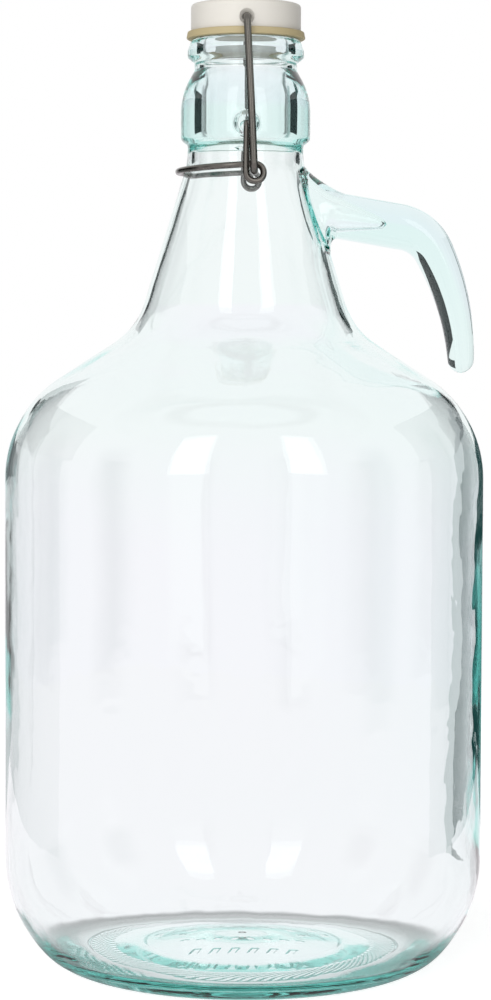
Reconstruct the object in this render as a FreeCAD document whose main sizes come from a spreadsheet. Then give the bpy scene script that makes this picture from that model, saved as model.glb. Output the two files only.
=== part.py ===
"""Five-litre glass demijohn with a swing-top stopper, in millimetres.

The frame: +Z is up, the origin is the centre of the ring that the bottle stands on, the handle
reaches towards +X, and the closure turns about lines parallel to Y. The bottle is empty.
"""
import FreeCAD, Part
import math
import os
import Sketcher

SIZES = [
    ("belt_diameter", 178.5, "outside diameter of the straight body"),
    ("shoulder_height", 207.2, "where the body wall and the shoulder cone would meet"),
    ("shoulder_rise", 31.6, "from there up to where shoulder cone and neck cone would meet"),
    ("neck_rise", 61.4, "from there up to where the neck cone and the straight neck would meet"),
    ("neck_radius", 21.5, "outside radius of the straight neck"),
    ("neck_spread", 18.95, "how much wider the neck cone is at its foot"),
    ("neck_straight", 6.4, "height of the straight neck under the pivot band"),
    ("band_step", 2.55, "how far the pivot band stands out past the neck"),
    ("band_lead", 2.0, "height of the chamfer under the pivot band"),
    ("band_width", 18.9, "height of the pivot band, up to where its upper cone would start"),
    ("band_cone", 8.7, "height of the band's upper cone"),
    ("groove_step", 2.5, "how far the groove under the lip lies inside the neck's radius"),
    ("groove_width", 2.8, "height of that groove"),
    ("lip_lead", 2.0, "height of the slope under the lip"),
    ("lip_step", 0.1, "how far the lip stands out past the neck"),
    ("lip_width", 2.6, "height of the lip's straight rim"),
    ("rim_rise", 4.0, "from that rim up to the sealing face"),
    ("rim_step", 1.4, "how far the sealing face's edge lies inside the neck's radius"),
    ("mouth_wall", 5.8, "glass thickness of the neck round the mouth"),
    ("bore_step_below_band", 1.6, "how far under the band the neck's bore starts to narrow"),
    ("bore_step_into_band", 2.4, "how far above the band's foot it has the mouth's width"),
    ("body_wall", 2.9, "glass thickness of the body and shoulder"),
    ("neck_wall", 2.5, "glass thickness of the neck"),
    ("base_wall", 7.0, "glass thickness of the base"),
    ("heel_inset", 19.75, "from the body wall in to where heel and standing ring would meet"),
    ("heel_height", 22.7, "where the heel and the body wall would meet"),
    ("ring_width", 22.5, "from there in to the inner edge of the standing ring"),
    ("push_up_width", 33.0, "width of the slope between the standing ring and the flat in its middle"),
    ("push_up_height", 5.0, "how far that flat stands above the table"),
    ("belt_round", 44.0, "rounding between body and shoulder"),
    ("root_round", 27.0, "rounding between shoulder and neck cone"),
    ("neck_round", 30.0, "rounding between neck cone and straight neck"),
    ("heel_round", 50.0, "rounding between body and heel"),
    ("stand_round", 24.0, "rounding between heel and standing ring"),
    ("inner_heel_round", 40.0, "rounding between body and heel inside"),
    ("floor_round", 9.0, "rounding between heel and floor inside"),
    ("dome_round", 60.0, "rounding of the pushed-up base"),
    ("band_round", 26.0, "rounding of the pivot band's upper edge"),
    ("small_round", 1.2, "rounding of the lip's and the band's small edges"),
    ("handle_rise", 43.4, "from the neck cone's foot up to the handle's middle at the neck"),
    ("handle_slope", 9.8, "fall of the handle's upper run, in degrees"),
    ("handle_run", 31.5, "length of the upper run from the neck to the bend"),
    ("handle_bend", 17.0, "middle radius of the handle's bend"),
    ("handle_turn", 63.0, "slope after the bend, in degrees"),
    ("handle_leg_radius", 96.0, "middle radius of the grip, which hangs down"),
    ("handle_end_turn", 88.0, "slope at the handle's end, in degrees"),
    ("handle_depth", 17.0, "depth of the handle at its upper run"),
    ("handle_breadth", 19.0, "breadth of the handle at its upper run"),
    ("handle_end_depth", 9.8, "depth of the handle at its end"),
    ("handle_end_breadth", 12.5, "breadth of the handle at its end"),
    ("handle_flare", 17.0, "how much deeper the handle is where it meets the neck"),
    ("flare_reach", 12.0, "how far from the neck that extra depth has gone"),
    ("hollow_depth", 9.0, "depth of the hollow in the handle's root, a little way in"),
    ("hollow_length", 25.5, "length of that hollow"),
    ("pivot_rise", 6.7, "height of the lever's pivot above the band's lower edge"),
    ("pin_play", 2.025, "gap round the lever's pin at the bottom of its dimple"),
    ("dimple_flare", 1.4, "how much wider a dimple is at the band's surface"),
    ("dimple_depth", 3.4, "depth of a pivot dimple"),
    ("pin_gap", 0.28, "gap between the lever's pin and the bottom of its dimple"),
    ("lever_wire", 2.35, "diameter of the lever's wire"),
    ("grip_inset", 0.325, "how far the grip's inner side lies inside the band's radius"),
    ("lever_ring_drop", 14.9, "drop from the pivot to the lever's grip"),
    ("lever_ring_slope", 3.5, "fall of the grip towards its far side, in degrees"),
    ("eye_gap", 0.73, "play of the bail's hook in the lever's eye, all round"),
    ("eye_offset", 2.9, "how far the eye's centre lies past the pivot"),
    ("bail_wire", 2.7, "diameter of the bail's wire"),
    ("hook_lag", 0.2, "how far the bail's hook lies back from the eye's centre"),
    ("wire_gap", 0.28, "clearance between wires that pass each other"),
    ("stopper_overhang", 0.3, "how far the stopper's head stands out past the sealing face"),
    ("stopper_thickness", 10.1, "thickness of the stopper's head"),
    ("stopper_round", 1.3, "rounding of the head's upper edge"),
    ("stopper_bore_height", 3.6, "height of the cross bore above the head's underside"),
    ("bore_gap", 0.3, "clearance round the bail in the cross bore"),
    ("sink_gap", 1.6, "clearance round the bail in the countersink at each end of that bore"),
    ("sink_depth", 1.5, "depth of that countersink"),
    ("plug_clearance", 3.7, "gap between the stopper's plug and the mouth"),
    ("plug_length", 6.4, "length of the plug under the head"),
    ("gasket_thickness", 2.7, "thickness of the rubber gasket"),
    ("gasket_overhang", 1.2, "how far the gasket stands out past the head"),
    ("gasket_flare", 0.5, "how much wider the gasket is at its lower face"),
    ("seat_gap", 0.22, "gap over the sealing face, taken up when the closure goes past its dead centre"),
]

doc = FreeCAD.newDocument("demijohn")
sheet = doc.addObject("Spreadsheet::Sheet", "sizes")
for row, (alias, value, meaning) in enumerate(SIZES, start=1):
    sheet.set(f"A{row}", alias)
    sheet.set(f"B{row}", str(value))
    sheet.setAlias(f"B{row}", alias)
    sheet.set(f"C{row}", meaning)
doc.recompute()


def size(expression):
    """The value of an expression in the sheet's names, for a place worked out in code."""
    return float(sheet.evalExpression(expression))


# Places, slopes and clearances that follow from the sizes, as expressions of the sheet's names.
BELT = "sizes.belt_diameter / 2"
SHOULDER = "sizes.shoulder_height"
ROOT = f"({SHOULDER} + sizes.shoulder_rise)"
NECK_FOOT = f"({ROOT} + sizes.neck_rise)"
BAND_BOTTOM = f"({NECK_FOOT} + sizes.neck_straight)"
BAND_TOP = f"({BAND_BOTTOM} + sizes.band_width)"
GROOVE_BOTTOM = f"({BAND_TOP} + sizes.band_cone)"
GROOVE_TOP = f"({GROOVE_BOTTOM} + sizes.groove_width)"
LIP_BOTTOM = f"({GROOVE_TOP} + sizes.lip_lead)"
LIP_TOP = f"({LIP_BOTTOM} + sizes.lip_width)"
RIM = f"({LIP_TOP} + sizes.rim_rise)"
ROOT_RADIUS = "(sizes.neck_radius + sizes.neck_spread)"
BAND_RADIUS = "(sizes.neck_radius + sizes.band_step)"
MOUTH_RADIUS = "(sizes.neck_radius - sizes.mouth_wall)"
HEEL_RADIUS = f"({BELT} - sizes.heel_inset)"
RING_RADIUS = f"({HEEL_RADIUS} - sizes.ring_width)"
PUSH_UP_RADIUS = f"({RING_RADIUS} - sizes.push_up_width)"
SHOULDER_SLOPE = f"atan(({BELT} - {ROOT_RADIUS}) / sizes.shoulder_rise)"
NECK_SLOPE = "atan(sizes.neck_spread / sizes.neck_rise)"
HEEL_SLOPE = "atan(sizes.heel_inset / sizes.heel_height)"
HALF_SUM = f"({SHOULDER_SLOPE} + {NECK_SLOPE}) / 2"
HALF_GAP = f"({SHOULDER_SLOPE} - {NECK_SLOPE}) / 2"
PIVOT = f"({BAND_BOTTOM} + sizes.pivot_rise)"
DIMPLE_RADIUS = "(sizes.lever_wire / 2 + sizes.pin_play)"
HEAD_RADIUS = "(sizes.neck_radius - sizes.rim_step + sizes.stopper_overhang)"
PLUG_RADIUS = f"({MOUTH_RADIUS} - sizes.plug_clearance)"
GASKET_BOTTOM = f"({RIM} + sizes.seat_gap)"
HEAD_BOTTOM = f"({GASKET_BOTTOM} + sizes.gasket_thickness)"
HEAD_TOP = f"({HEAD_BOTTOM} + sizes.stopper_thickness)"
STOPPER_AXIS = f"({HEAD_BOTTOM} + sizes.stopper_bore_height)"


def origin_plane(body, role):
    """One of a body's own origin planes."""
    return next(item for item in body.Origin.OriginFeatures if item.Role == role)


def outline_sketch(body, name, corners):
    """A closed outline in the XZ plane, each corner bound to its two expressions."""
    sketch = body.newObject("Sketcher::SketchObject", name)
    sketch.AttachmentSupport = (origin_plane(body, "XZ_Plane"), [""])
    sketch.MapMode = "FlatFace"
    places = [FreeCAD.Vector(size(across), size(up), 0) for across, up in corners]
    count = len(places)
    for index in range(count):
        sketch.addGeometry(Part.LineSegment(places[index], places[(index + 1) % count]), False)
    for index in range(count):
        sketch.addConstraint(Sketcher.Constraint("Coincident", index, 2, (index + 1) % count, 1))
    for index, (across, up) in enumerate(corners):
        for kind, expression, value in (("DistanceX", across, places[index].x),
                                        ("DistanceY", up, places[index].y)):
            number = sketch.addConstraint(Sketcher.Constraint(kind, -1, 1, index, 1, value))
            sketch.setExpression(f"Constraints[{number}]", expression)
    return sketch


def rings_at(shape, radius, height):
    """The names of the round edges about Z with this radius and height."""
    names = []
    for number, edge in enumerate(shape.Edges, start=1):
        if not isinstance(edge.Curve, Part.Circle):
            continue
        centre = edge.Curve.Center
        if abs(edge.Curve.Radius - radius) < 1e-4 and abs(centre.z - height) < 1e-4:
            names.append(f"Edge{number}")
    return names


def turned_body(name, corners):
    """A body turned about Z from corners (radius, height, rounding), all expressions."""
    body = doc.addObject("PartDesign::Body", name)
    sketch = outline_sketch(body, f"{name}_outline", [corner[:2] for corner in corners])
    turned = body.newObject("PartDesign::Revolution", f"{name}_turned")
    turned.Profile = sketch
    turned.ReferenceAxis = (sketch, ["V_Axis"])
    turned.Angle = 360
    doc.recompute()
    last = turned
    for number, (across, up, rounding) in enumerate(corners):
        if rounding is None:
            continue
        edges = rings_at(last.Shape, size(across), size(up))
        fillet = body.newObject("PartDesign::Fillet", f"{name}_round_{number}")
        fillet.Base = (last, edges)
        fillet.setExpression("Radius", rounding)
        doc.recompute()
        last = fillet
    return body


# Glass: the outside of the body, neck, band and lip, from the base's centre round to the mouth.
outside = turned_body("glass_outside", [
    ("0", "sizes.push_up_height", None),
    (PUSH_UP_RADIUS, "sizes.push_up_height", "sizes.dome_round"),
    (RING_RADIUS, "0", "sizes.small_round * 2"),
    (HEEL_RADIUS, "0", "sizes.stand_round"),
    (BELT, "sizes.heel_height", "sizes.heel_round"),
    (BELT, SHOULDER, "sizes.belt_round"),
    (ROOT_RADIUS, ROOT, "sizes.root_round"),
    ("sizes.neck_radius", NECK_FOOT, "sizes.neck_round"),
    ("sizes.neck_radius", BAND_BOTTOM, "sizes.small_round / 2"),
    (BAND_RADIUS, f"{BAND_BOTTOM} + sizes.band_lead", "sizes.small_round * 2"),
    (BAND_RADIUS, BAND_TOP, "sizes.band_round"),
    ("sizes.neck_radius - sizes.groove_step", GROOVE_BOTTOM, "sizes.small_round"),
    ("sizes.neck_radius - sizes.groove_step", GROOVE_TOP, "sizes.small_round / 2"),
    ("sizes.neck_radius + sizes.lip_step", LIP_BOTTOM, "sizes.small_round"),
    ("sizes.neck_radius + sizes.lip_step", LIP_TOP, "sizes.small_round * 2"),
    ("sizes.neck_radius - sizes.rim_step", RIM, "sizes.small_round"),
    ("0", RIM, None),
])

# The hollow inside follows the outside, one wall further in, and opens in the mouth.
HEEL_INSIDE = f"sizes.heel_height + sizes.body_wall * tan({HEEL_SLOPE} / 2)"
inside = turned_body("glass_inside", [
    ("0", "sizes.push_up_height + sizes.base_wall", None),
    (PUSH_UP_RADIUS, "sizes.push_up_height + sizes.base_wall", "sizes.dome_round"),
    (f"{RING_RADIUS} + sizes.base_wall", "sizes.base_wall", "sizes.dome_round"),
    (f"{BELT} - sizes.body_wall - ({HEEL_INSIDE} - sizes.base_wall) * tan({HEEL_SLOPE})",
     "sizes.base_wall", "sizes.floor_round"),
    (f"{BELT} - sizes.body_wall", HEEL_INSIDE, "sizes.inner_heel_round"),
    (f"{BELT} - sizes.body_wall",
     f"{SHOULDER} - sizes.body_wall * tan({SHOULDER_SLOPE} / 2)",
     "sizes.belt_round - sizes.body_wall"),
    (f"{ROOT_RADIUS} - sizes.body_wall * cos({HALF_SUM}) / cos({HALF_GAP})",
     f"{ROOT} - sizes.body_wall * sin({HALF_SUM}) / cos({HALF_GAP})",
     "sizes.root_round"),
    ("sizes.neck_radius - sizes.neck_wall",
     f"{NECK_FOOT} - sizes.neck_wall * tan({NECK_SLOPE} / 2)", "sizes.small_round * 10"),
    ("sizes.neck_radius - sizes.neck_wall",
     f"{BAND_BOTTOM} - sizes.bore_step_below_band", "sizes.small_round * 3"),
    (MOUTH_RADIUS, f"{BAND_BOTTOM} + sizes.bore_step_into_band", "sizes.small_round * 3"),
    (MOUTH_RADIUS, f"{RIM} + sizes.neck_wall", None),
    ("0", f"{RIM} + sizes.neck_wall", None),
])


def section(across, up, lean, depth, breadth):
    """A closed oval about (across, 0, up), whose depth leans this many degrees towards +X."""
    lean = math.radians(lean)
    corners = 16
    places = []
    for index in range(corners):
        turn = 2 * math.pi * index / corners
        high = depth / 2 * math.cos(turn)
        wide = breadth / 2 * math.sin(turn)
        places.append(FreeCAD.Vector(across + high * math.sin(lean), wide, up + high * math.cos(lean)))
    curve = Part.BSplineCurve()
    curve.interpolate(places, PeriodicFlag=True)
    return Part.Wire([curve.toShape()])


def neck_radius_at(height):
    """The neck cone's outside radius at a height."""
    return size("sizes.neck_radius") + (size(NECK_FOOT) - height) * NECK_TAN


def smooth_solid(name, sections):
    """A smooth solid through a row of sections."""
    feature = doc.addObject("Part::Feature", name)
    feature.Shape = Part.makeLoft(sections, True, False)
    return feature


# The handle's sections: places within the reach of its flare, how the flare fades, and its end.
ROOT_PARTS = (-0.25, 0.0, 0.2, 0.5, 1.0)
FLARE_FROM = -0.1
FLARE_POWER = 5
END_SHARES = (0.0, 0.4, 0.7, 0.9, 0.98)
# The root's hollow: place as a share of its length (of the neck's wall where negative), and its
# depth and breadth there as shares of its own depth.
HOLLOW_TAPER = ((-2.4, 3.0, 1.6), (-1.0, 2.6, 1.4), (0.02, 1.75, 1.1), (0.22, 1.0, 0.8),
                (0.55, 0.6, 0.5), (0.85, 0.35, 0.3), (1.0, 0.12, 0.12))
NECK_TAN = math.tan(math.radians(size(NECK_SLOPE)))
NECK_LEAN = -size(NECK_SLOPE)
RUN_LEAN = size("sizes.handle_slope")
RUN_FALL = math.radians(RUN_LEAN)
START_UP = size(f"{ROOT} + sizes.handle_rise")
START_ACROSS = neck_radius_at(START_UP)


def run_place(distance):
    """A point of the handle's straight upper run, this far from the neck's surface."""
    return START_ACROSS + distance * math.cos(RUN_FALL), START_UP - distance * math.sin(RUN_FALL)


def handle_sections():
    """The handle, from inside the neck's wall along its run, bend and grip to its rounded end."""
    depth = size("sizes.handle_depth")
    breadth = size("sizes.handle_breadth")
    flare = size("sizes.handle_flare")
    sections = []
    # The root spreads into the neck, and its sections turn from the neck's slope to the run's.
    reach = size("sizes.flare_reach")
    for part in ROOT_PARTS:
        spread = flare * (1 - max(part, FLARE_FROM)) ** FLARE_POWER
        lean = NECK_LEAN + (RUN_LEAN - NECK_LEAN) * max(part, 0.0)
        across, up = run_place(reach * part)
        sections.append(section(across, up, lean, depth + spread, breadth + spread / 2))
    run = size("sizes.handle_run")
    across, up = run_place((reach + run) / 2)
    sections.append(section(across, up, RUN_LEAN, depth, breadth))
    # The bend and the grip are two arcs that follow on, while the handle gets thinner.
    across, up = run_place(run)
    slope = RUN_LEAN
    arcs = ((size("sizes.handle_bend"), size("sizes.handle_turn"), 4),
            (size("sizes.handle_leg_radius"), size("sizes.handle_end_turn"), 5))
    length = sum(radius * math.radians(end - start) for (radius, end, _), start
                 in zip(arcs, (RUN_LEAN, size("sizes.handle_turn"))))
    gone = 0.0
    end_depth = size("sizes.handle_end_depth")
    end_breadth = size("sizes.handle_end_breadth")
    for radius, end, steps in arcs:
        step = (end - slope) / steps
        for _ in range(steps):
            share = gone / length
            sections.append(section(across, up, slope, depth + (end_depth - depth) * share,
                                    breadth + (end_breadth - breadth) * share))
            before = math.radians(slope)
            slope += step
            after = math.radians(slope)
            across += radius * (math.sin(after) - math.sin(before))
            up -= radius * (math.cos(before) - math.cos(after))
            gone += radius * (after - before)
    heading = math.radians(slope)
    for share in END_SHARES:
        shrink = math.sqrt(1 - share * share)
        forward = share * end_depth / 2
        sections.append(section(across + forward * math.cos(heading), up - forward * math.sin(heading),
                                slope, end_depth * shrink, end_breadth * shrink))
    return sections


def root_hollow_sections():
    """The tapering hollow that the handle's root has where it was drawn from the neck."""
    depth = size("sizes.hollow_depth")
    wall = size("sizes.neck_wall")
    length = size("sizes.hollow_length")
    sections = []
    for share, deep, wide in HOLLOW_TAPER:
        distance = share * length if share > 0 else share * wall
        part = min(max(distance / length, 0.0) * 3, 1.0)
        across, up = run_place(distance)
        lean = NECK_LEAN + (RUN_LEAN - NECK_LEAN) * part
        sections.append(section(across, up, lean, depth * deep, depth * wide))
    return sections


handle = smooth_solid("handle", handle_sections())
root_hollow = smooth_solid("root_hollow", root_hollow_sections())

blank = doc.addObject("Part::MultiFuse", "glass_blank")
blank.Shapes = [outside, handle]

dimples = []
for side, turn in (("front", 90), ("back", -90)):
    dimple = doc.addObject("Part::Cone", f"dimple_{side}")
    dimple.setExpression("Radius1", DIMPLE_RADIUS)
    dimple.setExpression("Radius2", f"{DIMPLE_RADIUS} + sizes.dimple_flare")
    dimple.setExpression("Height", "sizes.dimple_depth")
    dimple.Placement.Rotation = FreeCAD.Rotation(FreeCAD.Vector(1, 0, 0), turn)
    sign = "-" if turn > 0 else ""
    dimple.setExpression("Placement.Base.y", f"{sign}({BAND_RADIUS} - sizes.dimple_depth)")
    dimple.setExpression("Placement.Base.z", PIVOT)
    dimples.append(dimple)

removed = doc.addObject("Part::MultiFuse", "glass_removed")
removed.Shapes = [inside, root_hollow] + dimples

bottle = doc.addObject("Part::Cut", "bottle")
bottle.Base = blank
bottle.Tool = removed


def bent_wire(name, corners, diameter):
    """Round wire of this diameter along straight runs joined by tangent arcs, as one solid.

    Each corner is (place, bend radius), and the two ends have no bend.
    """
    edges = []
    here = corners[0][0]
    for index in range(1, len(corners) - 1):
        corner, radius = corners[index]
        back = (corners[index - 1][0] - corner).normalize()
        ahead = (corners[index + 1][0] - corner).normalize()
        half_turn = (math.pi - back.getAngle(ahead)) / 2
        tangent = radius * math.tan(half_turn)
        start = corner + back * tangent
        end = corner + ahead * tangent
        middle = corner + (back + ahead).normalize() * radius * (1 / math.cos(half_turn) - 1)
        edges.append(Part.LineSegment(here, start).toShape())
        edges.append(Part.Arc(start, middle, end).toShape())
        here = end
    edges.append(Part.LineSegment(here, corners[-1][0]).toShape())
    heading = edges[0].tangentAt(edges[0].FirstParameter)
    ring = Part.Wire([Part.makeCircle(diameter / 2, corners[0][0], heading)])
    feature = doc.addObject("Part::Feature", name)
    feature.Shape = Part.Wire(edges).makePipeShell([ring], True, False)
    return feature


def both_sides(front):
    """Corners of a wire's front half, followed by the same ones on the far side."""
    back = [(FreeCAD.Vector(place.x, -place.y, place.z), bend) for place, bend in reversed(front)]
    return front + back


# The lever: a pin in each dimple, a leg down to an eye, and a grip round the neck from eye to eye.
PIVOT_UP = size(PIVOT)
LEVER_WIRE = size("sizes.lever_wire")
BAIL_WIRE = size("sizes.bail_wire")
WIRE_GAP = size("sizes.wire_gap")
RING = size(f"{BAND_RADIUS} - sizes.grip_inset + sizes.lever_wire / 2")
LEG_OUT = RING + LEVER_WIRE + WIRE_GAP
RING_UP = PIVOT_UP - size("sizes.lever_ring_drop")
RING_TAN = math.tan(math.radians(size("sizes.lever_ring_slope")))
EYE = size("(sizes.bail_wire + sizes.lever_wire) / 2 + sizes.eye_gap")
EYE_ACROSS = size("sizes.eye_offset")
EYE_UP = RING_UP + EYE_ACROSS * RING_TAN - EYE
PIN_OUT = size(f"{BAND_RADIUS} - sizes.dimple_depth + sizes.pin_gap")
# The bends are a little tighter than a full round, which leaves short straight runs between them.
EYE_BEND = 0.97 * EYE
RING_BEND = 0.98 * RING
SHIFT = LEG_OUT - RING
lever = bent_wire("lever", both_sides([
    (FreeCAD.Vector(0, -PIN_OUT, PIVOT_UP), 0),
    (FreeCAD.Vector(0, -LEG_OUT, PIVOT_UP), LEVER_WIRE),
    (FreeCAD.Vector(EYE_ACROSS - EYE, -LEG_OUT, EYE_UP - EYE), EYE_BEND),
    (FreeCAD.Vector(EYE_ACROSS + EYE, SHIFT / 2 - LEG_OUT, EYE_UP - EYE), EYE_BEND),
    (FreeCAD.Vector(EYE_ACROSS + EYE, SHIFT - LEG_OUT, EYE_UP + EYE), EYE_BEND),
    (FreeCAD.Vector(-RING, -RING, RING_UP - RING * RING_TAN), RING_BEND),
]), LEVER_WIRE)

# The bail: a hook through each eye, a leg up outside the lever, and a run through the stopper.
BAIL_OUT = LEG_OUT + (LEVER_WIRE + BAIL_WIRE) / 2 + WIRE_GAP
HOOK_OUT = RING - LEVER_WIRE / 2
HOOK_ACROSS = size("sizes.eye_offset - sizes.hook_lag")
HOOK_UP = EYE_UP + WIRE_GAP
AXIS_UP = size(STOPPER_AXIS)
SHOULDER_UP = PIVOT_UP + BAIL_WIRE * 2
CROSS_OUT = size(HEAD_RADIUS) + BAIL_WIRE
SHOULDER_ACROSS = HOOK_ACROSS * (AXIS_UP - SHOULDER_UP) / (AXIS_UP - HOOK_UP)
bail = bent_wire("bail", both_sides([
    (FreeCAD.Vector(HOOK_ACROSS, -HOOK_OUT, HOOK_UP), 0),
    (FreeCAD.Vector(HOOK_ACROSS, -BAIL_OUT, HOOK_UP), BAIL_WIRE),
    (FreeCAD.Vector(SHOULDER_ACROSS, -BAIL_OUT, SHOULDER_UP), 8 * BAIL_WIRE),
    (FreeCAD.Vector(0, -CROSS_OUT, AXIS_UP), BAIL_WIRE),
]), BAIL_WIRE)

# The stopper: a moulded head with a plug under it, and a cross bore that the bail runs through.
head = turned_body("stopper_head", [
    ("0", f"{HEAD_BOTTOM} - sizes.plug_length", None),
    (PLUG_RADIUS, f"{HEAD_BOTTOM} - sizes.plug_length", "sizes.stopper_round"),
    (PLUG_RADIUS, HEAD_BOTTOM, None),
    (HEAD_RADIUS, HEAD_BOTTOM, None),
    (HEAD_RADIUS, HEAD_TOP, "sizes.stopper_round"),
    ("0", HEAD_TOP, None),
])
cross_bore = doc.addObject("Part::Cylinder", "cross_bore")
cross_bore.setExpression("Radius", "sizes.bail_wire / 2 + sizes.bore_gap")
cross_bore.setExpression("Height", f"2 * {HEAD_RADIUS}")
cross_bore.Placement.Rotation = FreeCAD.Rotation(FreeCAD.Vector(1, 0, 0), 90)
cross_bore.setExpression("Placement.Base.y", HEAD_RADIUS)
cross_bore.setExpression("Placement.Base.z", STOPPER_AXIS)
sinks = []
for side, turn in (("front", 90), ("back", -90)):
    sink = doc.addObject("Part::Cone", f"sink_{side}")
    sink.setExpression("Radius1", "sizes.bail_wire / 2 + sizes.bore_gap")
    sink.setExpression("Radius2", "sizes.bail_wire / 2 + sizes.sink_gap")
    sink.setExpression("Height", "sizes.sink_depth")
    sink.Placement.Rotation = FreeCAD.Rotation(FreeCAD.Vector(1, 0, 0), turn)
    sign = "-" if turn > 0 else ""
    sink.setExpression("Placement.Base.y", f"{sign}({HEAD_RADIUS} - sizes.sink_depth)")
    sink.setExpression("Placement.Base.z", STOPPER_AXIS)
    sinks.append(sink)
bored = doc.addObject("Part::MultiFuse", "stopper_bored")
bored.Shapes = [cross_bore] + sinks
stopper = doc.addObject("Part::Cut", "stopper")
stopper.Base = head
stopper.Tool = bored

# The gasket: a flat ring of rubber between the head and the sealing face, held by the plug.
gasket = turned_body("gasket", [
    (PLUG_RADIUS, GASKET_BOTTOM, None),
    (f"{HEAD_RADIUS} + sizes.gasket_overhang + sizes.gasket_flare",
     GASKET_BOTTOM, "sizes.gasket_flare"),
    (f"{HEAD_RADIUS} + sizes.gasket_overhang", HEAD_BOTTOM, "sizes.gasket_flare"),
    (PLUG_RADIUS, HEAD_BOTTOM, None),
])

PIECES = {"bottle": bottle, "lever": lever, "bail": bail, "stopper": stopper, "gasket": gasket}
for node, piece in PIECES.items():
    piece.Label = node
doc.recompute()

for item in doc.Objects:
    if "Invalid" in item.State or "Error" in item.State:
        raise RuntimeError(f"{item.Name} did not build: {item.State}")
os.makedirs("parts", exist_ok=True)
for node, piece in PIECES.items():
    shape = piece.Shape
    if shape.isNull() or not shape.isValid() or len(shape.Solids) != 1:
        raise RuntimeError(f"{node} is not one valid solid")
    print(f"{node}: {shape.Volume / 1000:.2f} cm3")
    shape.exportStep(f"parts/{node}.step")
print(f"hollow to the sealing face: {inside.Shape.Volume / 1e6:.3f} litres")
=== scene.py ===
"""A five-litre glass demijohn with a hooked handle and a swing-top stopper, empty.

The sections follow the object as it is put together: the glass with its walls, handle, dimples and
base, then the wires, the stopper and the gasket, and last the table, the lights and the camera.
The glass is worked out in millimetres. Everything else is in metres.
"""
import math

import bpy
import numpy as np
from mathutils import Euler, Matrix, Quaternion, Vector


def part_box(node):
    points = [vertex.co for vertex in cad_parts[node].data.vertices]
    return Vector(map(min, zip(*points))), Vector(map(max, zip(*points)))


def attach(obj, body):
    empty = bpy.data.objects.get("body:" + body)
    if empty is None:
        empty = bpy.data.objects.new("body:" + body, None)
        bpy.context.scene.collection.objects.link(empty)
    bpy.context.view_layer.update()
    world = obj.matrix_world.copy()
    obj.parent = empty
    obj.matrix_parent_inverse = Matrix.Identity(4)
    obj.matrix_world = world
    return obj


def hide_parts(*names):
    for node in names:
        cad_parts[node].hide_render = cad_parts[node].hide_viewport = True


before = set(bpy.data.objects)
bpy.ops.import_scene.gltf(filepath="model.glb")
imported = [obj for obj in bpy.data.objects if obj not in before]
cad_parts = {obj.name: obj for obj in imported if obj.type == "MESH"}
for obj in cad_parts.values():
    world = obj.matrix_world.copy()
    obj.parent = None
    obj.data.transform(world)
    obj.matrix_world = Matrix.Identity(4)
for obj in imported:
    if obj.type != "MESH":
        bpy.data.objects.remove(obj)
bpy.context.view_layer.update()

# ---------------------------------------------------------------------------------------------
# The glass, its walls. One piece of soda-lime glass, pressed at the mouth and blown below it: a
# wide body drawn in to a neck with a pivot band and a lip. The outside follows the mould, and the
# inside wanders a little, which bends what is seen through it.
# ---------------------------------------------------------------------------------------------
MM = 0.001
BELT_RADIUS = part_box("bottle")[1].y / MM
RIM_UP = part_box("bottle")[1].z / MM
NECK_RADIUS = 21.5
MOUTH_RADIUS = NECK_RADIUS - 5.8
BAND_RADIUS = NECK_RADIUS + 2.55
BAND_UP = RIM_UP - 39.0
PIVOT_UP = BAND_UP + 6.7
NECK_FOOT_UP = BAND_UP - 6.4
NECK_RISE = 61.4
NECK_SPREAD = 18.95
NECK_TAN = NECK_SPREAD / NECK_RISE
ROOT_UP = NECK_FOOT_UP - NECK_RISE
ROOT_RADIUS = NECK_RADIUS + NECK_SPREAD
SHOULDER_RISE = 31.6
SHOULDER_UP = ROOT_UP - SHOULDER_RISE
HEEL_UP = 22.7
HEEL_SPREAD = 19.75
HEEL_RADIUS = BELT_RADIUS - HEEL_SPREAD
STAND_RADIUS = HEEL_RADIUS - 11.0
RING_IN = HEEL_RADIUS - 22.5
DOME_RADIUS = RING_IN - 33.0
PUSH_UP = 5.0
BODY_WALL = 2.9
NECK_WALL = 2.5
BASE_WALL = 7.0
HANDLE_UP = ROOT_UP + 43.4

# Corners of the two outlines, each (radius, height, rounding), from the base up to the mouth.
OUTSIDE = [
    (STAND_RADIUS, 0.0, 0.0),
    (HEEL_RADIUS, 0.0, 23.0),
    (BELT_RADIUS, HEEL_UP, 50.0),
    (BELT_RADIUS, SHOULDER_UP, 44.0),
    (ROOT_RADIUS, ROOT_UP, 27.0),
    (NECK_RADIUS, NECK_FOOT_UP, 30.0),
    (NECK_RADIUS, BAND_UP, 0.6),
    (BAND_RADIUS, BAND_UP + 2.0, 2.4),
    (BAND_RADIUS, BAND_UP + 18.9, 26.0),
    (NECK_RADIUS - 2.5, BAND_UP + 27.6, 1.2),
    (NECK_RADIUS - 2.5, BAND_UP + 30.4, 0.6),
    (NECK_RADIUS + 0.1, BAND_UP + 32.4, 1.2),
    (NECK_RADIUS + 0.1, BAND_UP + 35.0, 2.4),
    (NECK_RADIUS - 1.4, RIM_UP, 1.2),
    (MOUTH_RADIUS, RIM_UP, 1.2),
    (MOUTH_RADIUS, RIM_UP - 8.0, 0.0),
]
shoulder_slope = math.atan((BELT_RADIUS - ROOT_RADIUS) / SHOULDER_RISE)
neck_slope = math.atan(NECK_TAN)
heel_slope = math.atan(HEEL_SPREAD / HEEL_UP)
half_sum = (shoulder_slope + neck_slope) / 2
half_gap = (shoulder_slope - neck_slope) / 2
HEEL_IN_UP = HEEL_UP + BODY_WALL * math.tan(heel_slope / 2)
FLOOR_EDGE = BELT_RADIUS - BODY_WALL - (HEEL_IN_UP - BASE_WALL) * math.tan(heel_slope)
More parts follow.
